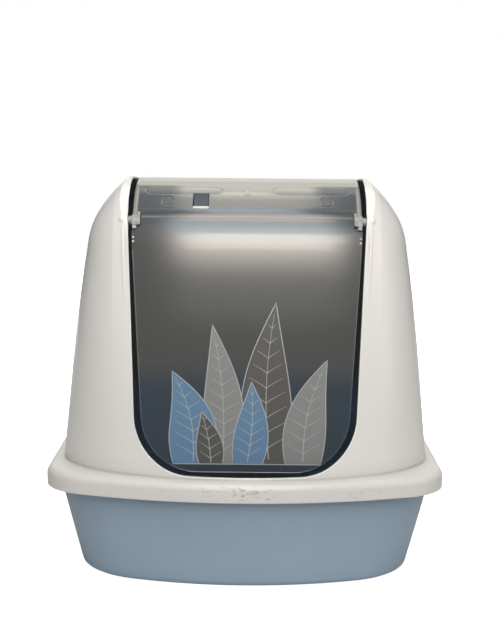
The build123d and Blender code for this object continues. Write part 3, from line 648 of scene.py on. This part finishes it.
def leaf_veins(leaf, count, reach=0.80):
    out = []
    for i in range(count):
        t = 0.10 + 0.74 * i / (count - 1)
        for side in (-1.0, 1.0):
            x, z = rib(leaf, t)
            w = spread(leaf, min(1.0, t + 0.07)) * reach
            pts = []
            for j in range(6):
                s_ = j / 5.0
                rise = (0.62 * w + 3.0) * (s_ ** 0.85)
                pts.append((x + side * w * s_, z + rise * 0.75))
            out.append(pts)
    return out


# foot x, tip x, tip height, half width, bend, foot fullness
LEAVES = (
    ("dark", (24.0, 30.0, 284.0, 25.0, -6.0, 0.55), 9),
    ("light", (-22.0, -34.0, 262.0, 20.0, 5.0, 0.5), 9),
    ("blue", (-52.0, -74.0, 216.0, 23.0, 8.0, 0.6), 7),
    ("light", (58.0, 82.0, 228.0, 20.0, -7.0, 0.6), 7),
    ("blue", (2.0, 6.0, 206.0, 16.5, 3.0, 0.6), 7),
    ("dark", (-34.0, -44.0, 176.0, 13.0, 2.0, 0.6), 5),
)
films = {"dark": bmesh.new(), "light": bmesh.new(), "blue": bmesh.new()}
drawn = bmesh.new()
for i, (tone, leaf, veins) in enumerate(LEAVES):
    base_h = 0.02 + 0.07 * i
    edge = leaf_outline(leaf)
    film(films[tone], edge, base_h, base_h + 0.05)
    line(drawn, edge, 0.95, base_h + 0.035, base_h + 0.075, closed=True)
    line(drawn, [rib(leaf, 0.03 + 0.90 * j / 20.0) for j in range(21)], 1.0, base_h + 0.035, base_h + 0.075, taper=True)
    for v in leaf_veins(leaf, veins):
        line(drawn, v, 0.7, base_h + 0.035, base_h + 0.075, taper=True)


def ink(name, a, b):
    g = Graph(name)
    mottled = g.noise(70.0, 3.0, 0.55)
    base = g.mix(mottled, a, b)
    pin = g.step(g.noise(900.0, 2.0, 0.5), 0.66, 0.72)
    base = g.mix(g.math("MULTIPLY", pin, 0.10), base, (0.05, 0.055, 0.06))
    rough = g.remap(g.noise(240.0, 2.0), 0.3, 0.7, 0.17, 0.24)
    g.set(base=base, rough=rough, normal=g.bump(g.noise(1500.0, 2.0), 0.10, 0.0001))
    return g.mat


INK = {"dark": ink("ink_warm_grey", (0.096, 0.092, 0.090), (0.108, 0.104, 0.100)),
       "light": ink("ink_light_grey", (0.232, 0.235, 0.234), (0.256, 0.258, 0.256)),
       "blue": ink("ink_blue", (0.118, 0.222, 0.352), (0.134, 0.240, 0.368))}
for tone, bm in films.items():
    finish_piece("door_print_" + tone, bm, INK[tone], "flap")
finish_piece("door_print_lines", drawn, ink("ink_pale", (0.36, 0.40, 0.40), (0.40, 0.435, 0.43)), "flap")

# rounded rim along the cut edge of the door, in a lighter copy of the door plastic as a painted highlight
path = [(0.0, 116.6)]
for i in range(1, 9):
    path.append((47.35 * i / 8.0, 116.6))
for i in range(1, 25):
    a = math.radians(-90.0 + 86.28 * i / 24.0)
    path.append((47.35 + 58.0 * math.cos(a), 174.6 + 58.0 * math.sin(a)))
for i in range(1, 21):
    path.append((105.23 + (115.94 - 105.23) * i / 20.0, 170.84 + (335.5 - 170.84) * i / 20.0))
path = [(-x, z) for x, z in reversed(path[1:])] + path
bm = bmesh.new()
rings = []
for i, (x, z) in enumerate(path):
    a, b = path[max(i - 1, 0)], path[min(i + 1, len(path) - 1)]
    dx, dz = b[0] - a[0], b[1] - a[1]
    k = math.hypot(dx, dz)
    inx, inz = -dz / k, dx / k
    c = []
    for j in range(8):
        q = 2.0 * math.pi * j / 8.0
        c.append(bm.verts.new(on_door(x + inx * (0.42 + 0.60 * math.cos(q)), z + inz * (0.42 + 0.60 * math.cos(q)),
                                      -0.30 + 0.60 * math.sin(q))))
    rings.append(c)
for a, b in zip(rings, rings[1:]):
    for j in range(8):
        bm.faces.new((a[j], a[(j + 1) % 8], b[(j + 1) % 8], b[j]))
bm.faces.new(rings[0])
bm.faces.new(list(reversed(rings[-1])))
for f in bm.faces:
    f.smooth = True
finish_piece("door_edge", bm, smoked_plastic("door_edge_plastic_painted_highlight", 2.0, 0.97), "flap")

# ---------------------------------------------------------------- rolled rim round the entrance, painted lighter than the hood as a painted highlight
bpy.context.view_layer.update()
shell = NODE["hood_shell"]
to_world = shell.matrix_world.copy()
shell_tree = BVHTree.FromPolygons([to_world @ v.co for v in shell.data.vertices],
                                  [list(p.vertices) for p in shell.data.polygons])
CROWN = Vector((0.0, -0.1105, 0.320))
RIM_R = 0.80
OPEN_LOW, OPEN_HINGE, OPEN_TOP, OPEN_Z, OPEN_R = 109.3, 121.2, 122.0, 118.35, 57.0


def half_open(z):
    """Half width of the entrance at height z in mm."""
    if z >= 385.0:
        return OPEN_TOP
    if z >= 366.0:
        return OPEN_HINGE + (OPEN_TOP - OPEN_HINGE) * (z - 366.0) / 19.0
    return OPEN_LOW + (OPEN_HINGE - OPEN_LOW) * (z - OPEN_Z) / (366.0 - OPEN_Z)


def touch(origin, direction):
    hit = shell_tree.ray_cast(origin, direction, 0.5)
    return hit[0]


half_path = []      # surface point, outward surface direction, way from the opening into the hood, sink
for i in range(13):                     # front edge of the roof
    x = OPEN_TOP * i / 12.0
    half_path.append((touch(Vector((x / 1000.0, -0.0606, 0.47)), Vector((0, 0, -1))), Vector((0, 0, 1)), 0.82))
for i in range(1, 13):                  # beside the flap's tail
    y = -0.061 - (0.1105 - 0.061) * i / 12.0
    half_path.append((touch(Vector(((OPEN_TOP + 0.5) / 1000.0, y, 0.47)), Vector((0, 0, -1))), Vector((0, 0, 1)), 0.82))
for i in range(1, 40):                  # over the crown
    th = math.radians(78.0 * i / 39.0)
    d = Vector((0.0, -math.sin(th), math.cos(th)))
    x = half_open(320.0 + 85.0 * math.cos(th)) + 0.5
    sink = 0.82 - 0.37 * min(1.0, max(0.0, (math.degrees(th) - 18.0) / 20.0))
    half_path.append((touch(CROWN + Vector((x / 1000.0, 0, 0)) + d * 0.12, -d), d, sink))
lean_n = Vector((0.0, -math.cos(math.radians(11.5)), math.sin(math.radians(11.5))))
slope = math.atan2(OPEN_HINGE - OPEN_LOW, 366.0 - OPEN_Z)
turn = math.pi / 2 - slope
tl = OPEN_R * math.tan(turn / 2)
cx, cz = OPEN_LOW - tl, OPEN_Z + OPEN_R
z_end = cz - OPEN_R * math.sin(slope)
for i in range(1, 33):                  # down the straight side
    z = 336.5 + (z_end - 336.5) * i / 32.0
    x = half_open(z) + 0.5
    half_path.append((touch(Vector((x / 1000.0, -0.45, z / 1000.0)), Vector((0, 1, 0))), lean_n, 0.45))
for i in range(1, 29):                  # round the corner
    q = -slope - turn * i / 28.0
    x, z = cx + (OPEN_R + 0.5) * math.cos(q), cz + (OPEN_R + 0.5) * math.sin(q)
    half_path.append((touch(Vector((x / 1000.0, -0.45, z / 1000.0)), Vector((0, 1, 0))), lean_n, 0.45))
for i in range(1, 13):                  # along the sill
    x = cx * (1.0 - i / 12.0)
    half_path.append((touch(Vector((x / 1000.0, -0.45, (OPEN_Z - 0.5) / 1000.0)), Vector((0, 1, 0))), lean_n, 0.45))


def flip(v):
    return Vector((-v.x, v.y, v.z))


PIN_TH = math.atan2(0.1790 - 0.1105, 0.364 - 0.320)


def by_pin(p):
    """1 over the pivot pin, where the rim is thinner, 0 away from it."""
    arc = abs(math.atan2(CROWN.y - p.y, p.z - CROWN.z) - PIN_TH) * 0.085
    s = min(1.0, max(0.0, (0.0075 - arc) / 0.0035))
    return s * s * (3.0 - 2.0 * s)


loop = [(p - n * ((k - 0.5 * by_pin(p)) / 1000.0), n, RIM_R - 0.5 * by_pin(p)) for p, n, k in half_path]
loop = loop + [(flip(p), flip(n), r) for p, n, r in reversed(loop[1:-1])]
bm = bmesh.new()
rings = []
for i, (p, n, r) in enumerate(loop):
    t = (loop[(i + 1) % len(loop)][0] - loop[i - 1][0]).normalized()
    u = (n - t * n.dot(t)).normalized()
    v = t.cross(u)
    rings.append([bm.verts.new(p + (u * math.cos(q) + v * math.sin(q)) * (r / 1000.0))
                  for q in (2.0 * math.pi * j / 10.0 for j in range(10))])
for i in range(len(rings)):
    a, b = rings[i], rings[(i + 1) % len(rings)]
    for j in range(10):
        bm.faces.new((a[j], a[(j + 1) % 10], b[(j + 1) % 10], b[j]))
for f in bm.faces:
    f.smooth = True
finish_piece("entrance_rim", bm, hood_plastic("rim_plastic_painted_highlight", 1.16, False), "hood")
